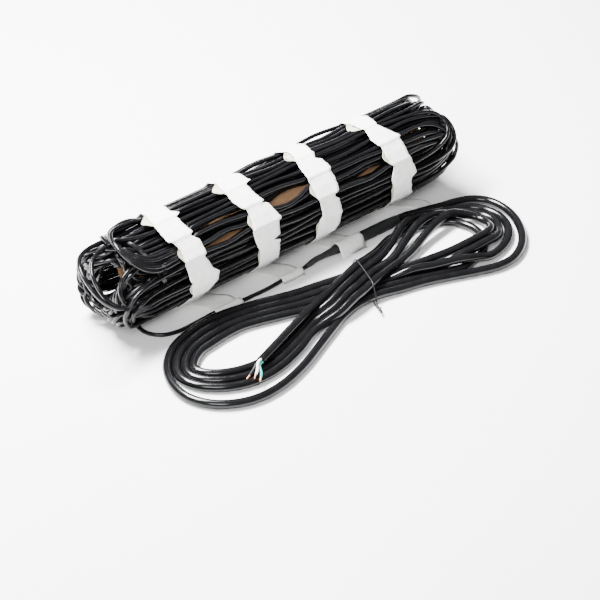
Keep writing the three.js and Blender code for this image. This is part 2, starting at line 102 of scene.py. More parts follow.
def catmull(points: Sequence[Point | np.ndarray], step: float) -> np.ndarray:
    """Centripetal Catmull-Rom line through points.

    Args:
        points: the points it goes through.
        step: distance between samples.

    Returns:
        Evenly spaced samples, one row each, both ends included.
    """
    p = np.asarray(points, float)
    p = np.vstack([2 * p[0] - p[1], p, 2 * p[-1] - p[-2]])
    line = []
    for i in range(1, len(p) - 2):
        quad = p[i - 1 : i + 3]
        knots = np.concatenate([[0], np.cumsum(np.sqrt(np.linalg.norm(np.diff(quad, axis=0), axis=1)))])
        t0, t1, t2, t3 = knots
        for t in np.linspace(t1, t2, SPAN_SAMPLES, endpoint=False):
            a1 = ((t1 - t) * quad[0] + (t - t0) * quad[1]) / (t1 - t0)
            a2 = ((t2 - t) * quad[1] + (t - t1) * quad[2]) / (t2 - t1)
            a3 = ((t3 - t) * quad[2] + (t - t2) * quad[3]) / (t3 - t2)
            b1 = ((t2 - t) * a1 + (t - t0) * a2) / (t2 - t0)
            b2 = ((t3 - t) * a2 + (t - t1) * a3) / (t3 - t1)
            line.append(((t2 - t) * b1 + (t - t1) * b2) / (t2 - t1))
    line.append(p[-2])
    return resample(np.array(line), step)


def resample(line: np.ndarray, step: float) -> np.ndarray:
    """The same line with evenly spaced points, about step apart."""
    along = np.concatenate([[0], np.cumsum(np.linalg.norm(np.diff(line, axis=0), axis=1))])
    n = max(2, int(round(along[-1] / step)) + 1)
    s = np.linspace(0, along[-1], n)
    return np.stack([np.interp(s, along, line[:, k]) for k in range(3)], axis=1)


def length_of(line: np.ndarray) -> float:
    """Length of a line of points."""
    return float(np.linalg.norm(np.diff(line, axis=0), axis=1).sum())


@dataclass(frozen=True)
class RollFrame:
    """Where the roll's own frame lies in the row frame, in millimetres."""

    x: float
    y: float
    z: float

    @classmethod
    def from_core(cls, core_left: float, axis_z: float) -> "RollFrame":
        """Found from the core tube, whose left end and axis are known in both frames."""
        low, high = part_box("core_tube")
        mid_y = (low[1] + high[1]) / 2
        mid_z = (low[2] + high[2]) / 2
        return cls(low[0] * 1000 - core_left, mid_y * 1000, mid_z * 1000 - axis_z)

    def at(self, p: Sequence[float]) -> Vector:
        """A point in metres in the row frame."""
        return Vector(((p[0] + self.x) / 1000, (p[1] + self.y) / 1000, (p[2] + self.z) / 1000))

    def rows(self, points: np.ndarray) -> np.ndarray:
        """Many points at once, in metres in the row frame."""
        return (np.asarray(points, float) + np.array([self.x, self.y, self.z])) / 1000


class Shader:
    """A procedural material: a principled shader with detail wired to it."""

    def __init__(self, name: str) -> None:
        self.material = bpy.data.materials.new(name)
        self.material.use_nodes = True
        self.tree = self.material.node_tree
        self.bsdf = self.tree.nodes["Principled BSDF"]
        self._place = self.tree.nodes.new("ShaderNodeTexCoord")

    def set(self, **values: object) -> None:
        """Sets inputs of the principled shader, with _ for a space in their names."""
        for key, value in values.items():
            self.bsdf.inputs[key.replace("_", " ")].default_value = value

    def noise(self, scale: float, detail: float = 3.0, stretch: Point = (1, 1, 1)) -> bpy.types.NodeSocket:
        """Noise in the object's own space.

        Args:
            scale: blobs per metre.
            detail: octaves.
            stretch: scale of each axis.

        Returns:
            Its value socket.
        """
        mapping = self.tree.nodes.new("ShaderNodeMapping")
        mapping.inputs["Scale"].default_value = stretch
        self.tree.links.new(self._place.outputs["Object"], mapping.inputs["Vector"])
        node = self.tree.nodes.new("ShaderNodeTexNoise")
        node.inputs["Scale"].default_value = scale
        node.inputs["Detail"].default_value = detail
        self.tree.links.new(mapping.outputs["Vector"], node.inputs["Vector"])
        return node.outputs["Fac"]

    def ramp(
        self, source: bpy.types.NodeSocket, stops: Sequence[tuple[float, Point]]
    ) -> bpy.types.NodeSocket:
        """A colour ramp over source, from stops of place and colour."""
        node = self.tree.nodes.new("ShaderNodeValToRGB")
        items = node.color_ramp.elements
        while len(items) < len(stops):
            items.new(0.5)
        for item, (place, colour) in zip(items, stops):
            item.position = place
            item.color = (*colour, 1)
        self.tree.links.new(source, node.inputs["Fac"])
        return node.outputs["Color"]

    def span(self, source: bpy.types.NodeSocket, low: float, high: float) -> bpy.types.NodeSocket:
        """Noise mapped to a span from low to high."""
        node = self.tree.nodes.new("ShaderNodeMapRange")
        node.inputs["From Min"].default_value = NOISE_LOW
        node.inputs["From Max"].default_value = NOISE_HIGH
        node.inputs["To Min"].default_value = low
        node.inputs["To Max"].default_value = high
        self.tree.links.new(source, node.inputs["Value"])
        return node.outputs["Result"]

    def colour(self, source: bpy.types.NodeSocket) -> None:
        """Wires the base colour."""
        self.tree.links.new(source, self.bsdf.inputs["Base Color"])

    def rough(self, source: bpy.types.NodeSocket) -> None:
        """Wires the roughness."""
        self.tree.links.new(source, self.bsdf.inputs["Roughness"])

    def bump(self, sources: Iterable[tuple[bpy.types.NodeSocket, float]]) -> None:
        """Adds bumps: each source with its height in millimetres."""
        last = None
        for source, height in sources:
            node = self.tree.nodes.new("ShaderNodeBump")
            node.inputs["Strength"].default_value = 1.0
            node.inputs["Distance"].default_value = height / 1000
            self.tree.links.new(source, node.inputs["Height"])
            if last is not None:
                self.tree.links.new(last, node.inputs["Normal"])
            last = node.outputs["Normal"]
        if last is not None:
            self.tree.links.new(last, self.bsdf.inputs["Normal"])


@dataclass(frozen=True)
class JacketFinish:
    """Smooth plastic jacket of a cable or wire."""

    name: str
    colour: tuple[float, float, float]
    roughness: float
    grain: float = 0.04

    def make(self) -> bpy.types.Material:
        """Builds the material."""
        s = Shader(self.name)
        tone = self.colour
        light = tuple(min(1.0, c * 1.3 + 0.001) for c in tone)
        s.colour(s.ramp(s.noise(90), ((0.35, tone), (0.7, light))))
        s.rough(s.span(s.noise(140, 4), self.roughness - 0.03, self.roughness + 0.05))
        s.bump([(s.noise(420, 2), self.grain), (s.noise(60, 2), self.grain * 3)])
        s.set(Specular_IOR_Level=0.26)
        return s.material


@dataclass(frozen=True)
class TapeFinish:
    """White non-woven tape; a darker beige copy of it is the painted shade of the inner turns."""

    name: str
    colour: tuple[float, float, float]
    shade: tuple[float, float, float]

    def make(self) -> bpy.types.Material:
        """Builds the material."""
        s = Shader(self.name)
        s.colour(s.ramp(s.noise(120, 5), ((0.3, self.shade), (0.55, self.colour))))
        s.rough(s.span(s.noise(300), 0.75, 0.95))
        s.bump([(s.noise(900, 4), 0.12), (s.noise(55, 3), 0.5)])
        s.set(Specular_IOR_Level=0.25)
        return s.material


@dataclass(frozen=True)
class CardFinish:
    """Kraft cardboard with grain streaked along the tube."""

    name: str
    colour: tuple[float, float, float]

    def make(self) -> bpy.types.Material:
        """Builds the material."""
        s = Shader(self.name)
        dark = tuple(c * 0.8 for c in self.colour)
        s.colour(s.ramp(s.noise(260, 6, (0.25, 1, 1)), ((0.3, dark), (0.65, self.colour))))
        s.rough(s.span(s.noise(200), 0.82, 0.96))
        s.bump([(s.noise(700, 5), 0.08)])
        s.set(Specular_IOR_Level=0.2)
        return s.material


@dataclass(frozen=True)
class ShrinkFinish:
    """Heat shrunk sleeve, dull, with faint rings."""

    name: str
    colour: tuple[float, float, float]

    def make(self) -> bpy.types.Material:
        """Builds the material."""
        s = Shader(self.name)
        light = tuple(c * 1.5 for c in self.colour)
        s.colour(s.ramp(s.noise(150, 5), ((0.3, self.colour), (0.7, light))))
        s.rough(s.span(s.noise(240, 4), 0.5, 0.68))
        s.bump([(s.noise(260, 3, (1.6, 0.7, 0.7)), 0.35), (s.noise(1200, 2), 0.05)])
        s.set(Specular_IOR_Level=0.4)
        return s.material


@dataclass(frozen=True)
class CopperFinish:
    """Bare stranded copper."""

    name: str
    colour: tuple[float, float, float]

    def make(self) -> bpy.types.Material:
        """Builds the material."""
        s = Shader(self.name)
        dark = tuple(c * 0.6 for c in self.colour)
        s.colour(s.ramp(s.noise(500, 4), ((0.3, dark), (0.6, self.colour))))
        s.rough(s.span(s.noise(700), 0.25, 0.45))
        s.bump([(s.noise(1500, 2), 0.03)])
        s.set(Metallic=1.0)
        return s.material


class Finishes:
    """Every material of the scene, by slot."""

    def __init__(self) -> None:
        self.by_slot = {
            Slot.CARD: CardFinish("Card", (0.4, 0.23, 0.125)).make(),
            Slot.CABLE: JacketFinish("CableJacket", (0.003, 0.003, 0.0036), 0.17, 0.012).make(),
            Slot.TAPE: TapeFinish("Tape", (0.88, 0.88, 0.86), (0.78, 0.78, 0.76)).make(),
            Slot.SLEEVE: ShrinkFinish("Shrink", (0.009, 0.0095, 0.01)).make(),
            Slot.LEAD: JacketFinish("LeadJacket", (0.003, 0.003, 0.0035), 0.15, 0.012).make(),
            Slot.TIE: JacketFinish("TieJacket", (0.005, 0.005, 0.005), 0.35).make(),
            Slot.WIRE_BLACK: JacketFinish("WireBlack", (0.01, 0.01, 0.011), 0.35).make(),
            Slot.WIRE_WHITE: JacketFinish("WireWhite", (0.82, 0.85, 0.83), 0.35, 0.02).make(),
            Slot.WIRE_GREEN: JacketFinish("WireGreen", (0.01, 0.3, 0.25), 0.35, 0.02).make(),
            Slot.COPPER: CopperFinish("Copper", (0.8, 0.38, 0.22)).make(),
        }
        # Painted shade: the white tape again in darker beige, for the inner turns that lie in shade between
        # the runs.
        self.painted_shade_inner_tape = TapeFinish("TapeInnerPaintedShade", (0.5, 0.47, 0.38), (0.33, 0.3, 0.23)).make()


class Piece:
    """Helpers that turn numbers into dressed objects on the root body."""

    def __init__(self, place: RollFrame, finishes: Finishes) -> None:
        self.place = place
        self.finishes = finishes

    def mesh(
        self, name: str, verts: np.ndarray, faces: Sequence[Sequence[int]], smooth: bool = True
    ) -> bpy.types.Object:
        """A mesh object from points in the roll's frame.

        Args:
            name: object name.
            verts: points in millimetres.
            faces: corner numbers of each face.
            smooth: shade smooth.

        Returns:
            The linked object.
        """
        data = bpy.data.meshes.new(name)
        data.from_pydata(self.place.rows(verts).tolist(), [], [tuple(int(i) for i in f) for f in faces])
        data.validate()
        if smooth:
            data.polygons.foreach_set("use_smooth", [True] * len(data.polygons))
        data.update()
        obj = bpy.data.objects.new(name, data)
        bpy.context.collection.objects.link(obj)
        return obj

    def dress(self, obj: bpy.types.Object, slot: Slot, nodes: Sequence[str] = ()) -> bpy.types.Object:
        """Gives obj the material of its slot and its body, logs the slot and hides the CAD nodes it stands
        for.
        """
        obj.data.materials.clear()
        obj.data.materials.append(self.finishes.by_slot[slot])
        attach(obj, "root")
        if nodes:
            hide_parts(*nodes)
        log.info("%s: %s", obj.name, slot.value)
        return obj

    def sweep(
        self,
        name: str,
        line: np.ndarray,
        radius: float | np.ndarray,
        sides: int,
        shape: Callable[[float, float], float] | None = None,
    ) -> bpy.types.Object:
        """A closed tube along a line.

        Args:
            name: object name.
            line: its centreline, one row a point.
            radius: one radius, or one for each point.
            sides: corners of its section.
            shape: factor on the radius, from the angle and the distance along the line.

        Returns:
            The object.
        """
        n = len(line)
        radii = np.full(n, radius, float) if np.isscalar(radius) else np.asarray(radius, float)
        tangent = np.gradient(line, axis=0)
        tangent /= np.linalg.norm(tangent, axis=1)[:, None]
        start = np.array([0.0, 0.0, 1.0]) if abs(tangent[0][2]) < 0.9 else np.array([1.0, 0.0, 0.0])
        side = np.cross(tangent[0], start)
        side /= np.linalg.norm(side)
        angles = np.arange(sides) * 2 * math.pi / sides
        along = np.concatenate([[0], np.cumsum(np.linalg.norm(np.diff(line, axis=0), axis=1))])
        verts = []
        for i in range(n):
            side = side - tangent[i] * np.dot(side, tangent[i])
            side /= np.linalg.norm(side)
            up = np.cross(side, tangent[i])
            if shape is None:
                r = np.full(sides, radii[i])
            else:
                r = radii[i] * np.array([shape(a, along[i]) for a in angles])
            verts.append(line[i] + np.outer(r * np.cos(angles), side) + np.outer(r * np.sin(angles), up))
        verts = np.vstack(verts)
        faces = []
        for i in range(n - 1):
            for j in range(sides):
                k = (j + 1) % sides
                faces.append((i * sides + j, i * sides + k, (i + 1) * sides + k, (i + 1) * sides + j))
        faces.append(tuple(reversed(range(sides))))
        faces.append(tuple((n - 1) * sides + j for j in range(sides)))
        return self.mesh(name, verts, faces)

    def ribbon(
        self,
        name: str,
        middle: np.ndarray,
        left: np.ndarray,
        right: np.ndarray,
        thickness: float,
        columns: int,
        lift: Callable[[int, float], float] | None = None,
    ) -> bpy.types.Object:
        """A strip of tape with thickness.

        Args:
            name: object name.
            middle: its side view, one (y, z) row a station.
            left: x of the left edge at each station.
            right: x of the right edge at each station.
            thickness: its thickness.
            columns: parts across its width.
            lift: extra height off the side view, from the station and the place across from 0 to 1.

        Returns:
            The object.
        """
        n = len(middle)
        run = np.gradient(middle, axis=0)
        run /= np.linalg.norm(run, axis=1)[:, None]
        normal = np.stack([-run[:, 1], run[:, 0]], axis=1)
        verts = []
        for face in (-0.5, 0.5):
            for i in range(n):
                for c in range(columns + 1):
                    f = c / columns
                    up = (lift(i, f) if lift else 0.0) + face * thickness
                    y, z = middle[i] + normal[i] * up
                    verts.append((left[i] + (right[i] - left[i]) * f, y, max(FLOOR_CLEAR, z)))
        w = columns + 1
        top = n * w
        faces = []
        for i in range(n - 1):
            for c in range(columns):
                a, b, d, e = i * w + c, i * w + c + 1, (i + 1) * w + c, (i + 1) * w + c + 1
                faces.append((a, d, e, b))
                faces.append((top + a, top + b, top + e, top + d))
            here, after = i * w, (i + 1) * w
            faces.append((here, top + here, top + after, after))
            faces.append((here + columns, after + columns, top + after + columns, top + here + columns))
        last = (n - 1) * w
        for c in range(columns):
            faces.append((c, c + 1, top + c + 1, top + c))
            faces.append((last + c, top + last + c, top + last + c + 1, last + c + 1))
        return self.mesh(name, np.array(verts), faces)


@dataclass(frozen=True)
class RollSize:
    """Sizes of the roll that its pieces share."""

    axis_z: float = 71.1
    tape_t: float = 0.8
    turn_step: float = 1.4
    cable_d: float = 6.0
    half_width: float = 305.0
    run_spacing: float = 76.2
    run_r: float = 67.0
    core_left: float = -240.0
    core_right: float = 265.0
    core_od: float = 72.0
    core_wall: float = 4.0
    outer_r: float = 71.1
    corner_reach: float = 14.0
    corners: tuple[float, ...] = (-90, -62, -34, -6, 22, 50, 73, 95, 124, 152, 178, 206, 238, 270)

    def outer_turn(self, angle: float) -> float:
        """How far inside the tape's start a point of the outer turn lies, by its angle."""
        return self.turn_step * (((angle + 90) % 360) / 360)

    def tight_radius(self, angle: float, depth: float) -> float:
        """Radius of a line that lies this deep under the flats of the outer turn."""
        best = self.outer_r - depth
        for a, b in zip(self.corners, self.corners[1:]):
            half = (b - a) / 2
            off = abs((angle - a - half + 180) % 360 - 180)
            if off < half + self.corner_reach:
                flat = self.outer_r * math.cos(math.radians(half)) - depth
                best = min(best, flat / math.cos(math.radians(off)))
        return best - self.outer_turn(angle)


@dataclass(frozen=True)
class Opening:
    """A place where runs part, so that what lies under them shows.

    It lies at x and angle in the outer layer and leans towards deep_x and deep_angle at the core. It is half
    degrees wide to each side and fades out over reach.
    """

    x: float
    angle: float
    deep_x: float
    deep_angle: float
    half: float
    reach: float
    layers: int = 5
    skip: tuple[int, ...] = ()

    def push(
        self, index: int, layer: int, radius: float, angle_at: Callable[[float], float], x: float
    ) -> float:
        """How far the opening pushes a run aside.

        Args:
            index: the run's number.
            layer: its layer, 0 outermost.
            radius: that layer's radius.
            angle_at: the run's angle by x, with no opening.
            x: place along the roll.

        Returns:
            Degrees added to the run's angle.
        """
        if layer >= self.layers or index in self.skip:
            return 0.0
        f = (OPENING_TOP_R - radius) / OPENING_DEPTH
        at_x = self.x + (self.deep_x - self.x) * f
        fade = math.exp(-(((x - at_x) / self.reach) ** 2))
        if fade < 0.004:
            return 0.0
        off = (angle_at(at_x) - self.angle - (self.deep_angle - self.angle) * f + 180) % 360 - 180
        half = self.half * (OPENING_TOP_R / radius) ** 0.8
        return math.copysign(half * fade * math.exp(-abs(off) / (1.6 * half)), off)


@dataclass(frozen=True)
class Shell:
    """One layer of runs: its radius, its slots, and how many slots a run lies from the one before."""

    radius: float
    slots: int
    step: int
    groups: int
    phase: float

    def turn(self, k: int) -> int:
        """Slot of run k when the second run skips one step, so that the top loops fall to the left."""
        if k == 0:
            return 0
        return self.step if k == self.slots - 1 else (self.step * (k + 1)) % self.slots


@dataclass(frozen=True)
class Lift:
    """A stretch where one run stands off the roll."""

    run: int
    x: float
    height: float
    reach: float

    def at(self, x: float) -> float:
        """Its height at x."""
        return self.height * math.exp(-(((x - self.x) / self.reach) ** 2))


@dataclass(frozen=True)
class Hairpin:
    """A loop that stands clear of the others.

    Its legs lie at the angles upper and lower and at leg_r, and gather there between gather_from and
    gather_to. The bend begins at start and reaches tip, where it lies at tip_r.
    """

    upper: float
    lower: float
    start: float
    tip: float
    leg_r: float
    tip_r: float
    gather_from: float
    gather_to: float


@dataclass(frozen=True)
class Reach:
    """How far the loops go from the mat's middle."""

    left: float = 288.0
    left_top: float = 264.0
    left_spread: float = 12.0
    top_from: float = 45.0
    top_to: float = 150.0
    right_short: float = 12.0
    right_spread: float = 18.0
    loose_run: int = 6
    loose: float = 333.0


@dataclass(frozen=True)
class Settling:
    """How the loops are pushed apart, and the room that they are kept in."""

    steps: int = 90
    refresh: int = 6
    gap: float = 0.25
    look: float = 3.0
    most: float = 3.0
    push: float = 0.42
    pull: float = 0.25
    smooth: float = 0.22
    skip: int = 4
    margin: float = 30.0
    core_r: float = 39.3
    core_margin: float = 4.0
    body: float = 290.0
    body_r: float = 69.5
    end_r: float = 73.0
    floor: float = 3.1
    end: float = 331.0


@dataclass
class HeatingCable:
    """The mat's one long cable: its runs in layers round the core, its loops and its last run."""

    size: RollSize
    reach: Reach = Reach()
    settling: Settling = Settling()
    shells: tuple[Shell, ...] = (
        Shell(67.0, 35, 6, 9, 0.3),
        Shell(56.6, 31, 6, 8, 1.1),
        Shell(51.0, 29, 6, 7, 2.0),
        Shell(45.8, 25, 6, 6, 0.7),
        Shell(40.8, 19, 5, 5, 2.6),
    )
    openings: tuple[Opening, ...] = (
        Opening(-7, 132, 13, 126, 9.0, 36),
        Opening(-117, 143, -98, 149, 5.5, 24),
        Opening(134, 145, 157, 152, 5.5, 24),
        Opening(-248, 144, -230, 150, 5.0, 20),
        Opening(-229, 117, -208, 92, 4.0, 18),
        Opening(118, 49, 118, 49, 17.0, 42, 1, (7,)),
        Opening(5, 49, 5, 49, 15.0, 38, 1, (7, 13)),
    )
    lifts: tuple[Lift, ...] = (
        Lift(7, 5, 3.6, 36),
        Lift(13, 5, 3.0, 36),
        Lift(7, 118, 4.6, 40),
        Lift(32, 125, 2.6, 45),
        Lift(14, 0, 2.2, 40),
        Lift(2, 115, 2.6, 45),
    )
    hairpins: dict[int, Hairpin] = field(
        default_factory=lambda: {
            7: Hairpin(47.0, 131.0, 224.0, 263.0, 66.5, 60.5, 154.0, 190.0),
            13: Hairpin(51.0, 135.5, 224.0, 266.0, 69.0, 63.5, 154.0, 190.0),
            19: Hairpin(55.5, 139.5, 225.0, 268.0, 66.5, 66.0, 154.0, 190.0),
            25: Hairpin(60.0, 143.5, 226.0, 270.0, 69.5, 68.6, 154.0, 190.0),
            31: Hairpin(64.5, 148.0, 226.0, 271.0, 67.5, 71.0, 154.0, 190.0),
            53: Hairpin(64.0, 180.0, 274.0, 331.0, 59.0, 58.0, 200.0, 262.0),
            43: Hairpin(80.0, 184.0, 268.0, 319.0, 57.0, 54.0, 200.0, 256.0),
        }
    )
    first_angle: float = -87.0
    left_zone: float = -192.0
    right_zone: float = 236.0
    first_x: float = -180.0
    stations: int = 26
    line_step: float = 4.0
    loop_step: float = 6.0
    bend_points: int = 22
    clear_bend_points: int = 30
    half_loop: float = 31.0
    bedding: float = 4.8
    unevenness: float = 1.2
    under_tape_r: float = 62.3
    tape_edge: float = 193.0
    rise_short: float = 6.0
    last_run: tuple[Point, ...] = (
        (74, -66, 8.4),
        (55, -66, 8.4),
        (38, -66, 8.4),
        (31, -66, 8.15),
        (21, -66, 5.9),
        (6, -66, 3.05),
        (-25, -68, 3.05),
        (-58, -71, 3.05),
        (-110, -70, 3.05),
        (-150, -67.5, 3.05),
        (-185, -69, 3.05),
        (-215, -69, 3.05),
        (-236, -62, 3.05),
        (-249, -47, 3.05),
        (-252, -29, 3.2),
        (-243, -12, 3.7),
        (-222, -1, 4.6),
        (-190, 3.5, 5.3),
    )
    runs: list[tuple[int, float, float]] = field(default_factory=list)

    def plan(self) -> None:
        """Lists the runs from the outermost inwards: layer, angle and radius."""
        angle = self.first_angle
        for n, shell in enumerate(self.shells):
            start = angle
            for k in range(shell.slots):
                turn = shell.turn(k) if n == 0 else (k * shell.step) % shell.slots
                base = start + turn * 360 / shell.slots
                index = len(self.runs)
                radius = shell.radius
                if n == 0:
                    radius = self.size.tight_radius(base, self.bedding) + self.size.outer_turn(base)
                    radius -= self.unevenness * scatter(index, Draw.DEPTH) ** 1.5 if index > 0 else 0.0
                self.runs.append((n, base, radius))
                angle = base + shell.step * 360 / shell.slots

    def angle_at(self, index: int, x: float) -> float:
        """Angle of a run where it passes x: layers gather into groups that drift along the roll."""
        n, base, _ = self.runs[index]
        if index == 0:
            return base
        shell = self.shells[n]
        a = math.radians(base)

        def free(at: float) -> float:
            drift = 1.9 * math.sin(at / 85 + shell.phase) + 0.35 * math.sin(at / 61 + 2 * shell.phase)
            warp = 0.5 / shell.groups * math.sin(shell.groups * a + shell.phase + drift)
            return math.degrees(a + warp) + 1.1 * math.sin(at / 210 + shell.phase)

        return free(x) + sum(o.push(index, n, shell.radius, free, x) for o in self.openings)

    def spot(self, index: int, x: float) -> np.ndarray:
        """Where a run's centre is at x."""
        a = self.angle_at(index, x)
        _, base, radius = self.runs[index]
        r = radius - self.size.outer_turn(base)
        for lift in self.lifts:
            if lift.run == index:
                r += lift.at(x)
        for first, pin in self.hairpins.items():
            if index in (first, first + 1) and -x > pin.gather_from:
                f = smoothstep(-x, pin.gather_from, pin.gather_to)
                leg = pin.upper if index == first else pin.lower
                rise = smoothstep(-x, self.tape_edge, pin.start - self.rise_short)
                a += ((leg - a + 180) % 360 - 180) * f
                r += (self.under_tape_r + (pin.leg_r - self.under_tape_r) * rise - r) * f
        t = math.radians(a)
        return np.array([x, r * math.cos(t), self.size.axis_z + r * math.sin(t)])

    def tip(self, index: int, side: int) -> float:
        """How far the loop after run index reaches."""
        reach = self.reach
        if side < 0:
            middle = (self.runs[index][1] + self.half_loop) % 360
            on_top = reach.top_from < middle < reach.top_to
            far = reach.left_top if on_top else reach.left
            return far + reach.left_spread * scatter(index, Draw.REACH)
        if index == reach.loose_run:
            return reach.loose
        return self.size.half_width - reach.right_short + reach.right_spread * scatter(index, Draw.REACH)

    def loop(self, index: int, side: int) -> list[np.ndarray]:
        """The loop from run index to the next one, middle points only.

        Args:
            index: the run that it follows.
            side: 1 for the right end of the roll, -1 for the left.

        Returns:
            Its points in order.
        """
        if side < 0 and index in self.hairpins:
            return self.clear_loop(index, self.hairpins[index])
        sz = self.size
        zone = abs(self.right_zone if side > 0 else self.left_zone)
        layer, angle, ra = self.runs[index]
        _, next_angle, rb = self.runs[index + 1]
        tip = self.tip(index, side)
        start = tip - sz.run_spacing / 2
        a0 = self.angle_at(index, side * start)
        a1 = self.angle_at(index + 1, side * start)
        while a1 < a0:
            a1 += 360
        while a1 - a0 > 180:
            a1 -= 360
        r0 = ra - sz.outer_turn(angle)
        r1 = rb - sz.outer_turn(next_angle)
        if layer == 0:
            sag = 2 + 16 * ((index / self.shells[0].slots) % 1.0)
        else:
            sag = 6 + 6 * scatter(index, Draw.SAG)
        points = [self.spot(index, side * x) for x in np.arange(zone + self.loop_step, start, self.loop_step)]
        for t in np.linspace(0, math.pi, self.bend_points):
            f = (1 - math.cos(t)) / 2
            a = math.radians(a0 + (a1 - a0) * f)
            r = r0 + (r1 - r0) * f - sag * math.sin(t)
            x = side * (start + (tip - start) * math.sin(t))
            points.append(np.array([x, r * math.cos(a), sz.axis_z + r * math.sin(a)]))
        back = np.arange(start, zone + self.loop_step / 2, -self.loop_step)
        return points + [self.spot(index + 1, side * x) for x in back]

    def clear_loop(self, index: int, pin: Hairpin) -> list[np.ndarray]:
        """A loop at the left end with its legs drawn together, from run index to the next."""
        axis = self.size.axis_z
        out = np.arange(-self.left_zone + self.loop_step, pin.start, self.line_step)
        points = [self.spot(index, -x) for x in out]
        for t in np.linspace(0, math.pi, self.clear_bend_points):
            a = math.radians(pin.upper + (pin.lower - pin.upper) * (1 - math.cos(t)) / 2)
            r = pin.leg_r + (pin.tip_r - pin.leg_r) * math.sin(t)
            x = -(pin.start + (pin.tip - pin.start) * math.sin(t))
            points.append(np.array([x, r * math.cos(a), axis + r * math.sin(a)]))
        back = np.arange(pin.start, -self.left_zone + self.loop_step / 2, -self.line_step)
        return points + [self.spot(index + 1, -x) for x in back]

    def line(self) -> np.ndarray:
        """The whole cable as one line, settled so that its loops rest on each other."""
        self.plan()
        points: list[np.ndarray] = list(catmull(self.last_run, self.line_step))
        free = [False] * len(points)
        count = len(self.runs)
        for index in range(count):
            side = 1 if index % 2 == 0 else -1
            left = self.first_x if index == 0 else self.left_zone
            here = np.linspace(left, self.right_zone, self.stations)
            for x in here if side > 0 else here[::-1]:
                points.append(self.spot(index, x))
                free.append(False)
            if index + 1 < count:
                made = self.loop(index, side)
                points.extend(made)
                free.extend([not (side < 0 and index in self.hairpins)] * len(made))
        return self.settle(np.array(points), np.array(free))

    def near_pairs(self, p: np.ndarray, free: np.ndarray, reach: float) -> np.ndarray:
        """Pairs of points at the roll's ends that lie near each other.

        Args:
            p: the cable's points.
            free: which of them may move.
            reach: how near they have to be.

        Returns:
            Their numbers, one row a pair, the first of each one free.
        """
        s = self.settling
        ends = np.where((p[:, 0] < self.left_zone + s.margin) | (p[:, 0] > self.right_zone - s.margin))[0]
        tree = kdtree.KDTree(len(ends))
        for k, i in enumerate(ends):
            tree.insert(p[i], k)
        tree.balance()
        pairs = []
        for i in ends[free[ends]]:
            for _, k, _ in tree.find_range(p[i], reach):
                j = ends[k]
                if abs(int(j) - int(i)) > s.skip and (j > i or not free[j]):
                    pairs.append((i, j))
        return np.array(pairs) if pairs else np.zeros((0, 2), int)

    def keep_in(self, p: np.ndarray, free: np.ndarray) -> np.ndarray:
        """Keeps the free points out of the core and the floor and inside the roll's outline."""
        s, sz = self.settling, self.size
        y, z = p[:, 1], p[:, 2] - sz.axis_z
        r = np.hypot(y, z) + 1e-9
        along_core = (p[:, 0] > sz.core_left - s.core_margin) & (p[:, 0] < sz.core_right + s.core_margin)
        inner = np.where(along_core, s.core_r, 0)
        outer = np.where(np.abs(p[:, 0]) < s.body, s.body_r, s.end_r)
        fit = np.clip(r, inner, outer) / r
        p[:, 1] = np.where(free, y * fit, p[:, 1])
        p[:, 2] = np.where(free, np.maximum(sz.axis_z + z * fit, s.floor), p[:, 2])
        p[:, 0] = np.where(free, np.clip(p[:, 0], -s.end, s.end), p[:, 0])
        return p

    def settle(self, p: np.ndarray, free: np.ndarray) -> np.ndarray:
        """Pushes the loops apart until they rest on each other.

        Args:
            p: the cable's points.
            free: which of them may move.

        Returns:
            The settled points.
        """
        s = self.settling
        want = self.size.cable_d + s.gap
        rest = np.linalg.norm(np.diff(p, axis=0), axis=1)
        either = free[:-1] | free[1:]
        for step in range(s.steps):
            if step % s.refresh == 0:
                pairs = self.near_pairs(p, free, want + s.look)
            d = p[pairs[:, 1]] - p[pairs[:, 0]]
            far = np.linalg.norm(d, axis=1) + 1e-9
            push = np.clip(want - far, 0, s.most)[:, None] * d / far[:, None] * s.push
            move = np.zeros_like(p)
            np.add.at(move, pairs[:, 0], -push)
            np.add.at(move, pairs[:, 1], push)
            bend = np.zeros_like(p)
            bend[1:-1] = (p[:-2] + p[2:]) / 2 - p[1:-1]
            d = np.diff(p, axis=0)
            long = np.linalg.norm(d, axis=1) + 1e-9
            pull = ((long - rest) / long)[:, None] * d * s.pull * either[:, None]
            move[:-1] += pull
            move[1:] -= pull
            p = self.keep_in(p + np.where(free[:, None], move + s.smooth * bend, 0), free)
        return p

    def build(self, piece: Piece) -> bpy.types.Object:
        """Builds and dresses the cable."""
        line = self.line()
        log.info("heating cable: %.1f m in %d runs", length_of(line) / 1000, len(self.runs))
        obj = piece.sweep("HeatingCable", line, self.size.cable_d / 2, 8)
        return piece.dress(obj, Slot.CABLE, ["heating_cable"])


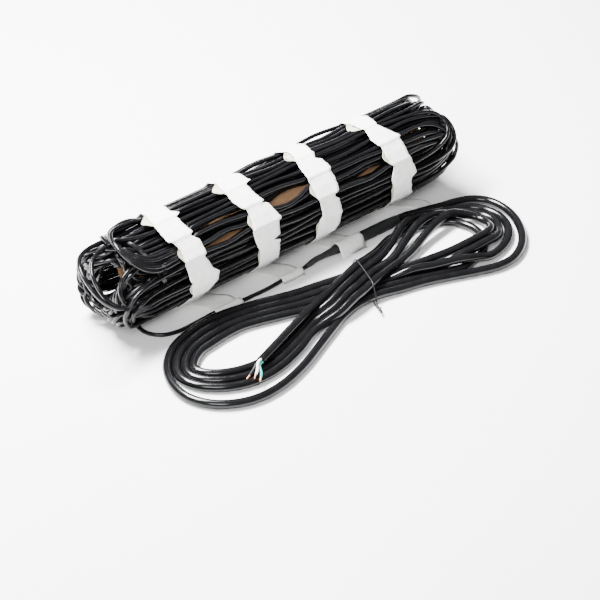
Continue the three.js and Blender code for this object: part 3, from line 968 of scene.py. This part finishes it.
@dataclass
class TapeStrip:
    """One strip of tape: its tail on the floor, its outer turn and what shows of an inner turn.

    Its edges are given by angle as (angle, left, right), in steps where the strip is creased. over_y,
    over_z and over_r are the place and radius of what its tail lies over. shows gives where the inner turn
    comes out on the left, as (angle, depth, spread).
    """

    number: int
    x: float
    tail_shift: float
    tail_width: float
    tail_end: float
    over_y: float
    over_z: float
    over_r: float
    edges: tuple[Point, ...]
    size: RollSize
    width: float = 40.0
    end_angle: float = 258.0
    foot: float = 1.62
    tail_reach: float = 48.0
    tail_gap: float = 0.75
    step_down: float = 1.3
    crease: float = 14.0
    creased_from: float = 75.0
    creased_to: float = 230.0
    turn_stations: int = 232
    thickness: float = 0.55
    inner_thickness: float = 0.4
    inner_depth: float = -3.0
    shows: tuple[Point, ...] = ((82, 16, 11), (141, 8, 10), (188, 6, 14))

    def tail(self) -> list[tuple[float, float]]:
        """Side view of the tail from its end to the bottom of the roll."""
        half = self.size.tape_t / 2
        line = [(self.tail_end, half + 0.5), (self.tail_end + 3, half)]
        if self.over_r > 0:
            clear = self.over_r + self.tail_gap
            line.append((self.over_y - clear * self.foot, half))
            for a in range(150, 29, -15):
                t = math.radians(a)
                line.append((self.over_y + clear * math.cos(t), self.over_z + clear * math.sin(t)))
            line.append((self.over_y + clear * self.foot, half))
        last = line[-1][0]
        for y in np.linspace(last + 3, -4, 10):
            line.append((y, half))
        return line

    def radius(self, angle: float) -> float:
        """Radius of the outer turn: flats between corners, each starting a little under the last."""
        r = self.size.tight_radius(angle, 0.45)
        for corner in self.size.corners:
            off = angle - corner
            if self.creased_from < corner < self.creased_to and 0 < off < self.crease:
                r -= self.step_down * smoothstep(off, 0, 1.2) * (1 - off / self.crease)
        return r

    def ragged(self, edge: Sequence[float], pace: float, draw: Draw) -> np.ndarray:
        """An edge with small waves and loose threads.

        Args:
            edge: x of the edge at each station.
            pace: turn of the wave from one station to the next.
            draw: the kind of chance for its threads.

        Returns:
            x of the ragged edge at each station.
        """
        wave = [0.5 * math.sin(i * pace + self.number) for i in range(len(edge))]
        thread = [1.1 * (scatter(i // 2, draw + self.number) - 0.5) for i in range(len(edge))]
        return np.array([x + w + t for x, w, t in zip(edge, wave, thread)])

    def build(self, piece: Piece) -> bpy.types.Object:
        """Builds and dresses the strip."""
        tail = self.tail()
        middle = list(tail)
        left, right = [], []
        for y, _ in tail:
            f = min(1.0, max(0.0, -y / self.tail_reach))
            mid = self.x + self.tail_shift * f
            w = self.width + (self.tail_width - self.width) * f
            left.append(mid - w / 2)
            right.append(mid + w / 2)
        at, low, high = zip(*self.edges)
        for i in range(self.turn_stations + 1):
            angle = -90 + (self.end_angle + 90) * i / self.turn_stations
            r = self.radius(angle)
            t = math.radians(angle)
            middle.append((r * math.cos(t), self.size.axis_z + r * math.sin(t)))
            left.append(float(np.interp(angle, at, low)))
            right.append(float(np.interp(angle, at, high)))
        n = self.number
        tail_n = len(tail)
        left_edge = self.ragged(left, 0.21, Draw.LEFT_EDGE)
        right_edge = self.ragged(right, 0.17, Draw.RIGHT_EDGE)

        def lift(i: int, f: float) -> float:
            """Small creases, and edges that curl down."""
            if i < tail_n:
                return 0.25 * math.sin(i * 0.9 + 5 * f + n)
            curl = -0.5 * max(0.0, abs(f - 0.5) - 0.36) / 0.14
            return curl + 0.14 * math.sin(i * 0.35 + 7 * f + n) + 0.12 * math.sin(i * 0.13 - 11 * f)

        obj = piece.ribbon(f"TapeStrip{n}", np.array(middle), left_edge, right_edge, self.thickness, 8, lift)
        piece.dress(obj, Slot.TAPE, [f"tape_strip_{n}"])
        self.inner(piece)
        return obj

    def inner(self, piece: Piece) -> None:
        """The turn below, seen between the runs along the strip's left edge, in a darker beige tape colour
        that paints its shade.
        """
        at, low, _ = zip(*self.edges)
        middle, left, right = [], [], []
        for angle in np.arange(-70, 250, 3):
            t = math.radians(angle)
            show = self.inner_depth
            for at_angle, depth, spread in self.shows:
                show += depth * math.exp(-(((angle - at_angle) / spread) ** 2))
            r = self.size.tight_radius(angle, 0.9) - 0.12 * max(0.0, show)
            middle.append((r * math.cos(t), self.size.axis_z + r * math.sin(t)))
            edge = float(np.interp(angle, at, low))
            left.append(edge - show + 1.2 * (scatter(int(angle), Draw.INNER_EDGE + self.number) - 0.5))
            right.append(edge + 1.5)

        def lift(i: int, f: float) -> float:
            """Waves that fade towards the outer turn."""
            return 0.9 * math.sin(i * 0.8 + 9 * f + self.number) * (1 - f)

        name = f"TapeInnerPaintedShade{self.number}"
        thickness = self.inner_thickness
        obj = piece.ribbon(name, np.array(middle), np.array(left), np.array(right), thickness, 5, lift)
        piece.dress(obj, Slot.TAPE)
        # Painted shade: the white tape is swapped for its darker beige copy.
        obj.data.materials.clear()
        obj.data.materials.append(piece.finishes.painted_shade_inner_tape)


@dataclass
class CoreTube:
    """The cardboard tube that the mat is wound on."""

    size: RollSize
    segments: int = 72
    chamfer: float = 0.5

    def build(self, piece: Piece) -> bpy.types.Object:
        """Builds and dresses the tube."""
        sz = self.size
        outer, inner = sz.core_od / 2, sz.core_od / 2 - sz.core_wall
        e = self.chamfer
        profile = [
            (inner, sz.core_left + e),
            (inner + e, sz.core_left),
            (outer - e, sz.core_left),
            (outer, sz.core_left + e),
            (outer, sz.core_right - e),
            (outer - e, sz.core_right),
            (inner + e, sz.core_right),
            (inner, sz.core_right - e),
        ]
        verts, faces = [], []
        m = len(profile)
        for i in range(self.segments):
            t = 2 * math.pi * i / self.segments
            for r, x in profile:
                verts.append((x, r * math.cos(t), sz.axis_z + r * math.sin(t)))
            for j in range(m):
                a, b = i * m + j, i * m + (j + 1) % m
                c, d = ((i + 1) % self.segments) * m + j, ((i + 1) % self.segments) * m + (j + 1) % m
                faces.append((a, c, d, b))
        obj = piece.mesh("CoreTube", np.array(verts), faces, smooth=False)
        return piece.dress(obj, Slot.CARD, ["core_tube"])


@dataclass
class SpliceSleeve:
    """The heat shrunk sleeve over the joint between heating cable and cold lead."""

    start: float = 12.0
    thin_end: float = 40.0
    wide: float = 88.0
    end: float = 182.0
    y: float = -66.0
    z: float = 8.4
    wide_r: float = 8.3
    thin_r: float = 4.2
    mouth_r: float = 3.5
    mouth_z: float = 3.6
    rise_from: float = 6.0
    rise_to: float = 34.0
    station: float = 1.6
    sides: int = 28

    def build(self, piece: Piece) -> bpy.types.Object:
        """Builds and dresses the sleeve."""
        line, radii = [], []
        for x in np.arange(self.start, self.end + 0.01, self.station):
            rise = smoothstep(x, self.rise_from, self.rise_to)
            line.append((x, self.y, self.mouth_z + (self.z - self.mouth_z) * rise))
            r = self.mouth_r + (self.thin_r - self.mouth_r) * smoothstep(x, self.start, self.start + 14)
            r += (self.wide_r - self.thin_r) * smoothstep(x, self.thin_end, self.wide)
            r -= 1.0 * smoothstep(x, self.end - 20, self.end - 4)
            r -= 0.5 * smoothstep(x, self.end - 3, self.end)
            radii.append(r)

        def shape(a: float, s: float) -> float:
            """Shallow dents and rings of the shrunk wall."""
            return 1 + 0.012 * math.sin(3 * a + s / 17) + 0.01 * math.sin(s / 2.9 + 2 * math.sin(a))

        obj = piece.sweep("SpliceSleeve", np.array(line), np.array(radii), self.sides, shape)
        return piece.dress(obj, Slot.SLEEVE, ["splice_sleeve"])


@dataclass
class ColdLead:
    """The cold lead: one cable from the splice through the tied hank to its stripped end."""

    diameter: float = 12.5
    pitch: float = 13.6
    lift: float = 2.0
    exit: Point = (182.0, -66.0, 8.4)
    floor: float = 6.55
    over: float = 19.35
    front_share: tuple[float, ...] = (0.0, 0.53, 0.76, 1.0)
    back_share: tuple[float, ...] = (0.0, 1 / 3, 2 / 3, 1.0)

    def right_outer(self) -> list[Point]:
        """From the splice round the outside of the right lobe to the waist."""
        f = self.floor
        return [
            (163, -66, 8.4), (172, -66, 8.4), (188, -66, 8.4), (204, -67.5, 7.4), (226, -72, f),
            (252, -79, f), (278, -84.5, f), (301, -94, f), (317, -111, f), (323, -134, f), (321, -160, f),
            (312, -184, f), (296, -208, f), (274, -227, f), (248, -238, f), (220, -238, f),
            (188, -228, f), (155, -215, f), (118, -201, f), (78, -191, f), (44, -183.5, f + self.lift),
            (12, -182, f + self.lift), (-18, -187, f), (-50, -200, f),
        ]

    def right_turns(self) -> list[list[Point]]:
        """The other turns of the right lobe, each from the waist's front to its back."""
        f, o = self.floor, self.over
        inner = [
            (110, -156, f), (132, -163, 8), (157, -169, 10), (190, -176, 13), (224, -181, 18), (251, -181, o),
            (268, -171, 15), (276, -153, 9), (274, -135, 9), (262, -122, 13), (241, -114, o), (214, -117, o),
            (184, -125, 15), (150, -137, 10), (118, -147, 11), (88, -156, 16.5),
        ]
        middle = [
            (110, -170, f), (132, -178, f), (157, -187, 7), (195, -194, 15), (232, -197, o), (262, -191, 14),
            (281, -174, 8), (290, -152, f), (286, -130, f), (272, -113, f), (248, -104, 10), (218, -99, 18),
            (188, -104, o), (155, -116, 14.5), (122, -131, 10), (90, -144, 16),
        ]
        outer = [
            (110, -178, 17), (143, -191, 17.5), (175, -203, o), (200, -211, 16), (226, -214, 8),
            (254, -209, f), (279, -196, f), (298, -174, f), (304, -150, f), (299, -126, f),
            (285, -107, f), (259, -95.5, f), (228, -87.5, 9.5), (196, -86, 16), (165, -94, o),
            (130, -111, 15.5), (97, -127, 17),
        ]
        under = [
            (112, -188, f), (150, -201.5, f), (178, -209.5, f), (202, -207, f), (224, -200, f),
            (241, -187, f), (252, -168, f), (254, -145, f), (244, -121, f), (226, -106, f), (200, -96, f),
            (170, -92, f), (140, -94.5, f), (110, -105, 7.5), (84, -116, 14.5),
        ]
        return [inner, middle, outer, under]

    def left_turn(self, n: int) -> list[Point]:
        """Turn n of the left lobe, from its front to its back, between an outer and an inner guide."""
        out = [
            (-85, -216), (-130, -236), (-175, -249), (-215, -251), (-248, -241), (-275, -220), (-290, -190),
            (-289, -157), (-274, -124), (-245, -98), (-210, -85), (-168, -80), (-122, -86), (-65, -101),
        ]
        inside = [
            (-60, -163), (-98, -179), (-138, -192), (-171, -195), (-200, -191), (-226, -180), (-243, -165),
            (-248, -150), (-239, -138), (-219, -126), (-197, -122), (-172, -119), (-143, -119), (-88, -134),
        ]
        points = []
        for i, (a, b) in enumerate(zip(out, inside)):
            f = smoothstep(i, 5, 8)
            share = self.front_share[n] + (self.back_share[n] - self.front_share[n]) * f
            points.append((a[0] + (b[0] - a[0]) * share, a[1] + (b[1] - a[1]) * share, self.floor))
        return points

    def under_waist(self, n: int) -> list[Point]:
        """Through the waist below the others, from the left lobe's back to the right lobe's front."""
        f = self.floor
        return [
            (-38 - 4 * n, -108 - 12.5 * n, f),
            (0, -116 - self.pitch * n, f + 0.6 * self.lift),
            (42, -126 - self.pitch * n, f + self.lift),
            (76, -137.5 - self.pitch * n, f),
        ]

    def over_waist(self, n: int) -> list[Point]:
        """Through the waist above the others, from the right lobe's back to the left lobe's front."""
        top = self.over + self.lift
        return [
            (60, -125 - self.pitch * n, top),
            (28, -134.5 - self.pitch * n, top),
            (0, -143 - 0.95 * self.pitch * n, top - 0.6),
            (-27, -150 - 0.9 * self.pitch * n, top - 3 - (3 if n > 0 else 0)),
        ]

    def route(self) -> list[Point]:
        """Every point of the lead in order."""
        o = self.over
        end = [(-63, -162, o), (-102, -176, o), (-141, -191, o), (-178, -204.5, o - 0.3)]
        right = self.right_turns()
        points = self.right_outer() + self.left_turn(0)
        for n in range(4):
            last = self.left_turn(n + 1) if n < 3 else end
            points += self.under_waist(n) + right[n] + self.over_waist(3 - n) + last
        return points

    def line(self, step: float = 4.0) -> np.ndarray:
        """Its centreline."""
        return catmull(self.route(), step)

    def build(self, piece: Piece) -> bpy.types.Object:
        """Builds and dresses the lead."""
        line = self.line()
        data = bpy.data.curves.new("ColdLead", "CURVE")
        data.dimensions = "3D"
        spline = data.splines.new("POLY")
        spline.points.add(len(line) - 1)
        rows = piece.place.rows(line)
        spline.points.foreach_set("co", np.hstack([rows, np.ones((len(rows), 1))]).ravel())
        data.bevel_depth = self.diameter / 2000
        data.bevel_resolution = 5
        data.use_fill_caps = True
        spline.use_smooth = True
        obj = bpy.data.objects.new("ColdLead", data)
        bpy.context.collection.objects.link(obj)
        log.info("cold lead: %.2f m", length_of(line) / 1000)
        return piece.dress(obj, Slot.LEAD, ["cold_lead_tube", "cold_lead_hank"])


@dataclass
class TwistTie:
    """The coated wire round the hank's waist, its ends twisted together."""

    diameter: float = 1.9

    def build(self, piece: Piece) -> bpy.types.Object:
        """Builds and dresses the tie."""
        line = [
            (25, -215, 4.6), (27, -211, 7.2), (26.5, -206.5, 4.4), (29.5, -202, 7), (29.5, -197, 4.4),
            (33, -190.5, 1.4), (38, -180, 1.2), (47, -152, 1.2), (55, -126, 1.2), (59, -114, 3),
            (60, -110, 9), (59, -113, 17), (57, -119, 25.5), (54, -127, 29.3), (49, -145, 29.6),
            (43, -165, 29.4), (38, -180, 28.2), (35, -187, 22), (33, -192, 15), (31, -197.5, 7.4),
            (28, -201.5, 4.2), (29, -207, 7.2), (25.5, -211, 4.6), (23, -216, 7.6),
        ]
        obj = piece.sweep("TwistTie", catmull(line, 1.6), self.diameter / 2, 10)
        return piece.dress(obj, Slot.TIE, ["bundle_tie"])


@dataclass
class StrippedEnd:
    """The three conductors at the lead's end, each with a bare copper tip."""

    lead: ColdLead
    wire_d: float = 3.7
    copper_d: float = 2.6
    bare: float = 8.5
    hidden: float = 2.0
    straight: float = 9.0
    bend_share: float = 0.62
    step: float = 0.8

    def build(self, piece: Piece) -> list[bpy.types.Object]:
        """Builds and dresses the conductors and their tips."""
        line = self.lead.line(2.0)
        end = line[-1]
        along = line[-1] - line[-3]
        along /= np.linalg.norm(along)
        side = np.array([-along[1], along[0], 0.0])
        made = []
        spec = (
            ("black", Slot.WIRE_BLACK, -2.4, -1.4, (-34, -13, -5.5)),
            ("white", Slot.WIRE_WHITE, 0.0, 2.3, (-27, -20, -3.5)),
            ("green", Slot.WIRE_GREEN, 2.4, -1.4, (-22, -26, -6.5)),
        )
        for name, slot, out, up, tip in spec:
            root = end + side * out + np.array([0, 0, up]) - along * self.hidden
            far = end + np.array(tip, float)
            bend = root + (far - root) * self.bend_share
            path = catmull([root, root + along * self.straight, bend, far], self.step)
            cut = max(3, len(path) - int(self.bare / self.step))
            wire = piece.sweep(f"Conductor_{name}", path[:cut], self.wire_d / 2, 16)
            piece.dress(wire, slot, [f"conductor_{name}"])

            def strands(a: float, s: float) -> float:
                """Seven strands, laid in a helix."""
                return 0.86 + 0.14 * abs(math.cos(3.5 * (a + s * 0.45)))

            copper = piece.sweep(f"Copper_{name}", path[cut - 2 :], self.copper_d / 2, 28, strands)
            piece.dress(copper, Slot.COPPER, [f"copper_end_{name}"])
            made += [wire, copper]
        return made


@dataclass(frozen=True)
class Studio:
    """Camera, floor and soft lights."""

    azimuth: float = -38.97
    elevation: float = 38.0
    distance: float = 3070.3
    focal_px: float = 2213.9
    picture_px: float = 600.0
    sensor: float = 36.0
    floor_half: float = 8.0
    sky: float = 0.36
    target: tuple[float, float] = (-40.21, -116.32)

    def camera(self, place: RollFrame) -> None:
        """Sets the camera up as in the photo."""
        a, e = math.radians(self.azimuth), math.radians(self.elevation)
        back = np.array([math.sin(a) * math.cos(e), -math.cos(a) * math.cos(e), math.sin(e)])
        spot = np.array([self.target[0], self.target[1], 0.0]) + back * self.distance
        data = bpy.data.cameras.new("Camera")
        data.sensor_width = self.sensor
        data.lens = self.focal_px / self.picture_px * self.sensor
        cam = bpy.data.objects.new("Camera", data)
        cam.location = place.at(spot)
        cam.rotation_mode = "QUATERNION"
        cam.rotation_quaternion = Vector(-back).to_track_quat("-Z", "Y")
        bpy.context.collection.objects.link(cam)
        bpy.context.scene.camera = cam

    def area(self, name: str, spot: Point, aim: Point, size: tuple[float, float], power: float) -> None:
        """A soft light.

        Args:
            name: its name.
            spot: where it hangs, in metres in the row frame.
            aim: the point it faces.
            size: its width and height in metres.
            power: its power in watts.
        """
        data = bpy.data.lights.new(name, "AREA")
        data.shape = "RECTANGLE"
        data.size, data.size_y = size
        data.energy = power
        lamp = bpy.data.objects.new(name, data)
        lamp.location = spot
        lamp.rotation_mode = "QUATERNION"
        lamp.rotation_quaternion = (Vector(aim) - Vector(spot)).to_track_quat("-Z", "Y")
        bpy.context.collection.objects.link(lamp)

    def build(self) -> None:
        """Makes the floor, the lights and the sky."""
        data = bpy.data.meshes.new("Floor")
        s = self.floor_half
        data.from_pydata([(-s, -s, 0), (s, -s, 0), (s, s, 0), (-s, s, 0)], [], [(0, 1, 2, 3)])
        floor = bpy.data.objects.new("Floor", data)
        bpy.context.collection.objects.link(floor)
        shade = Shader("FloorPaper")
        shade.colour(shade.ramp(shade.noise(3), ((0.3, (0.9, 0.9, 0.9)), (0.7, (0.92, 0.92, 0.92)))))
        shade.set(Roughness=0.9, Specular_IOR_Level=0.1)
        floor.data.materials.append(shade.material)
        world = bpy.data.worlds.new("Sky")
        bpy.context.scene.world = world
        world.use_nodes = True
        world.node_tree.nodes["Background"].inputs["Color"].default_value = (1, 1, 1, 1)
        world.node_tree.nodes["Background"].inputs["Strength"].default_value = self.sky
        self.area("Key", (-0.35, 0.75, 1.9), (0, 0, 0.05), (1.5, 0.5), 450)
        self.area("Fill", (-1.5, -1.3, 1.7), (0, 0, 0.05), (1.0, 1.0), 60)


def tape_strips(size: RollSize) -> tuple[TapeStrip, ...]:
    """The four strips, from the left end of the roll to the right one."""
    return (
        TapeStrip(
            1, -173, 43, 46, -79, -68.6, 3.0, 3.9,
            (
                (-90, -193, -153), (20, -193, -153), (49, -190, -160), (84, -201, -166), (94, -203, -159),
                (96, -204, -167), (109, -205, -167), (123, -203, -162), (125, -196, -168), (134, -192, -158),
                (151, -193, -157), (153, -194, -161), (171, -191, -153), (177, -190, -144), (179, -187, -141),
                (194, -187, -143), (204, -184, -157), (207, -190, -160), (222, -191, -158), (258, -193, -153),
            ),
            size,
        ),
        TapeStrip(
            2, -55, 38, 38, -78, -67.6, 3.0, 3.9,
            (
                (-90, -75, -35), (20, -76, -36), (49, -76, -39), (72, -77, -38), (93, -84, -38),
                (95, -84, -48), (109, -84, -47), (123, -78, -43), (125, -75, -40), (126, -72, -48),
                (128, -72, -38), (145, -75, -31), (151, -77, -28), (153, -78, -34), (170, -76, -35),
                (172, -75, -50), (175, -74, -37), (191, -70, -36), (216, -71, -37), (258, -75, -35),
            ),
            size,
        ),
        TapeStrip(
            3, 57, 32, 44, -84, -66.0, 8.4, 8.4,
            (
                (-90, 37, 77), (20, 37, 77), (49, 45, 80), (79, 47, 77), (93, 42, 72), (95, 40, 74),
                (103, 39, 69), (108, 38, 77), (123, 37, 79), (125, 36, 76), (137, 36, 77), (151, 38, 75),
                (153, 40, 67), (157, 41, 67), (160, 41, 73), (172, 40, 74), (177, 33, 75), (197, 32, 72),
                (206, 32, 65), (225, 34, 68), (258, 37, 77),
            ),
            size,
        ),
        TapeStrip(
            4, 190, 50, 28, -60, 0.0, 0.0, 0.0,
            (
                (-90, 170, 210), (20, 168, 208), (49, 165, 196), (69, 160, 194), (93, 163, 190),
                (95, 166, 188), (113, 162, 200), (123, 166, 208), (125, 170, 205), (139, 169, 206),
                (151, 172, 206), (153, 176, 208), (168, 168, 213), (173, 168, 215), (177, 170, 204),
                (199, 172, 208), (214, 171, 215), (225, 171, 209), (258, 170, 210),
            ),
            size,
        ),
    )


def main() -> None:
    """Builds every piece in order."""
    logging.basicConfig(level=logging.INFO, format="%(name)s: %(message)s")
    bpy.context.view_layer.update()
    size = RollSize()
    place = RollFrame.from_core(size.core_left, size.axis_z)
    studio = Studio()
    studio.camera(place)
    finishes = Finishes()
    piece = Piece(place, finishes)

    lead = ColdLead()
    lead_obj = lead.build(piece)
    tie = TwistTie().build(piece)
    wires = StrippedEnd(lead).build(piece)
    line = lead.line()
    place.at(lead.exit)

    cable = HeatingCable(size)
    cable.build(piece)
    CoreTube(size).build(piece)
    SpliceSleeve().build(piece)
    for strip in tape_strips(size):
        strip.build(piece)
    studio.build()


if __name__ == "__main__":
    main()
